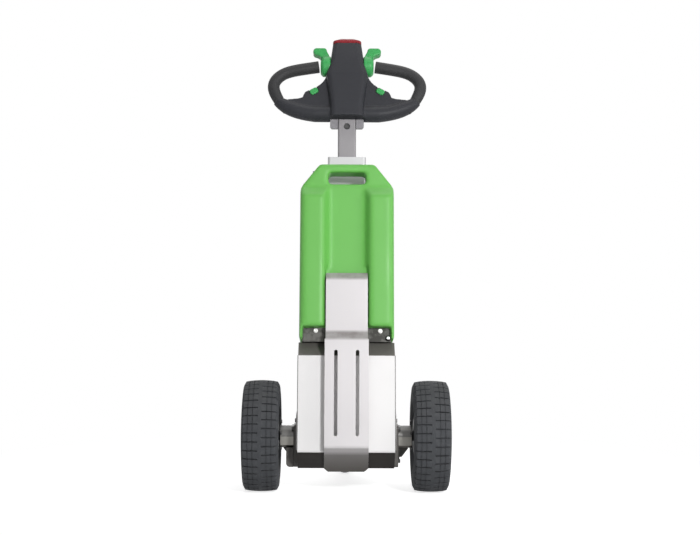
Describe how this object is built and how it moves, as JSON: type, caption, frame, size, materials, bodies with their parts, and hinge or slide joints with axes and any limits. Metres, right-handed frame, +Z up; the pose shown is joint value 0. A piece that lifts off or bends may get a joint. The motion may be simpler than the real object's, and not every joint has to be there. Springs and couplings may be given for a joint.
{
  "type": "pedestrian electric tug",
  "caption": "Walk-behind electric tug with driven wheels, a rear castor, a battery pack on a leaning column, a slotted coupling strap and a steering head with looped grips.",
  "frame": {"origin": "middle of the footprint on the floor", "axes": "+X to the right seen from the coupling side, +Y from the coupling to the operator, +Z up"},
  "size_m": [0.483, 0.464, 1.1047],
  "materials": {
    "chassis_cover": "brushed",
    "side_plate_left": "brushed",
    "side_plate_right": "brushed",
    "rear_cover": "brushed",
    "floor_plate": "brushed",
    "coupling_strap": "brushed",
    "drive_unit": "matt",
    "axle_housing_left": "brushed",
    "axle_housing_right": "brushed",
    "brake_block_left": "satin",
    "battery_tray": "satin",
    "battery_lock": "polished",
    "battery_housing": "satin",
    "column": "brushed",
    "column_guide": "matt",
    "clamp_knob": "matt",
    "castor_arm": "satin",
    "castor_housing": "satin",
    "tyre_left": "matt",
    "rim_left": "satin",
    "hub_left": "brushed",
    "tyre_right": "matt",
    "rim_right": "satin",
    "hub_right": "brushed",
    "castor_fork": "satin",
    "castor_tyre": "matt",
    "castor_hub": "matt",
    "tiller_tube": "brushed",
    "tiller_clevis": "brushed",
    "head_body": "matt",
    "grip_left": "matt",
    "grip_right": "matt",
    "throttle_left": "satin",
    "throttle_right": "satin",
    "throttle_shaft": "satin",
    "stop_button": "gloss",
    "horn_button_left": "satin",
    "horn_button_right": "satin"
  },
  "bodies": {
    "chassis": {"chassis_cover": "chassis_cover", "side_plate_left": "side_plate_left", "side_plate_right": "side_plate_right", "rear_cover": "rear_cover", "floor_plate": "floor_plate", "coupling_strap": "coupling_strap", "drive_unit": "drive_unit", "axle_housing_left": "axle_housing_left", "axle_housing_right": "axle_housing_right", "brake_block_left": "brake_block_left", "battery_tray": "battery_tray", "battery_lock": "battery_lock", "battery_housing": "battery_housing", "column": "column", "column_guide": "column_guide", "clamp_knob": "clamp_knob", "castor_arm": "castor_arm", "castor_housing": "castor_housing"},
    "wheel_left": {"tyre_left": "tyre_left", "rim_left": "rim_left", "hub_left": "hub_left"},
    "wheel_right": {"tyre_right": "tyre_right", "rim_right": "rim_right", "hub_right": "hub_right"},
    "castor_fork": {"castor_fork": "castor_fork"},
    "castor_wheel": {"castor_tyre": "castor_tyre", "castor_hub": "castor_hub"},
    "tiller": {"tiller_tube": "tiller_tube", "tiller_clevis": "tiller_clevis", "head_body": "head_body", "grip_left": "grip_left", "grip_right": "grip_right", "throttle_left": "throttle_left", "throttle_right": "throttle_right", "throttle_shaft": "throttle_shaft", "stop_button": "stop_button", "horn_button_left": "horn_button_left", "horn_button_right": "horn_button_right"}
  },
  "joints": [
    {"name": "wheel_left_roll", "type": "hinge", "parent": "chassis", "child": "wheel_left", "pos_m": [-0.1985, -0.102, 0.13], "axis": [1, 0, 0], "continuous": true},
    {"name": "wheel_right_roll", "type": "hinge", "parent": "chassis", "child": "wheel_right", "pos_m": [0.1985, -0.102, 0.13], "axis": [1, 0, 0], "continuous": true},
    {"name": "castor_swivel", "type": "hinge", "parent": "chassis", "child": "castor_fork", "pos_m": [0, 0.16, 0.09], "axis": [0, 0, 1], "continuous": true},
    {"name": "castor_roll", "type": "hinge", "parent": "castor_fork", "child": "castor_wheel", "pos_m": [0, 0.192, 0.04], "axis": [1, 0, 0], "continuous": true},
    {"name": "tiller_height", "type": "slide", "parent": "chassis", "child": "tiller", "axis": [0, 0.1736, 0.9848], "range_m": [-0.055, 0.15]}
  ]
}
